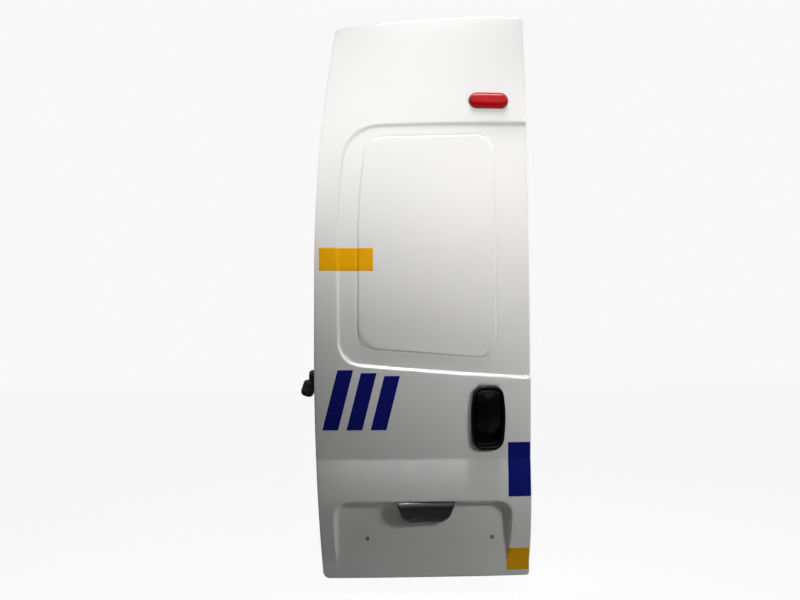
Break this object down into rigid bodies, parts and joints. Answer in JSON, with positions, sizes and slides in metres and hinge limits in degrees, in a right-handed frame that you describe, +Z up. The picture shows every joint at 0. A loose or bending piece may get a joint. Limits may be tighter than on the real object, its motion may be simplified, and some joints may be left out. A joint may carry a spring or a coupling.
{
  "type": "van rear barn door",
  "caption": "Tall white steel rear barn door of a high-roof van with a blank window pressing, plate pocket, brake lamp, pull-flap handle and hidden pillar hinges",
  "frame": {"origin": "on the lower pillar leaf's bolting face, midway between its two bolt holes", "axes": "+X from the hinge edge to the meeting edge, +Y from outside to inside, +Z up"},
  "size_m": [0.7712, 0.2122, 1.93],
  "materials": {
    "body_paint": "worn white gloss paint",
    "hinge_paint": "white paint over steel",
    "red_lens": "glossy red acrylic",
    "clear_lens": "clear moulded acrylic",
    "black_plastic": "grained black plastic",
    "black_rubber": "matt black rubber",
    "zinc_steel": "zinc-plated steel",
    "latch_steel": "passivated pressed steel",
    "yellow_vinyl": "worn yellow vinyl film",
    "navy_vinyl": "worn navy vinyl film",
    "trim_board": "grey moulded trim board"
  },
  "bodies": {
    "pillar_hinges": {"lower_pillar_leaf": "hinge_paint", "upper_pillar_leaf": "hinge_paint", "lower_hinge_pin": "zinc_steel", "upper_hinge_pin": "zinc_steel"},
    "door": {"outer_skin": "body_paint", "inner_panel": "body_paint", "brake_lamp_gasket": "black_rubber", "brake_lamp_lens": "red_lens", "brake_lamp_housing": "black_plastic", "plate_lamp_housing": "black_plastic", "plate_lamp_lens_left": "clear_lens", "plate_lamp_lens_right": "clear_lens", "handle_bezel": "black_plastic", "handle_pin": "zinc_steel", "lower_door_leaf": "hinge_paint", "upper_door_leaf": "hinge_paint", "wiring_gaiter": "black_rubber", "trim_panel": "trim_board", "central_latch": "latch_steel", "upper_bolt_case": "latch_steel", "lower_bolt_case": "latch_steel", "release_bezel": "black_plastic", "release_lever": "black_plastic", "lower_buffer": "black_rubber", "upper_buffer": "black_rubber"},
    "flap": {"handle_flap": "black_plastic"}
  },
  "joints": [
    {"name": "door_swing", "type": "hinge", "parent": "pillar_hinges", "child": "door", "pos_m": [-0.014, -0.05, 0], "axis": [0, -0.0438, -0.999], "range_deg": [0, 180]},
    {"name": "handle_pull", "type": "hinge", "parent": "door", "child": "flap", "pos_m": [0.54861, -0.0978, 0.292], "axis": [-1, 0, 0], "range_deg": [0, 35], "stiffness_Nm_per_rad": 2}
  ]
}
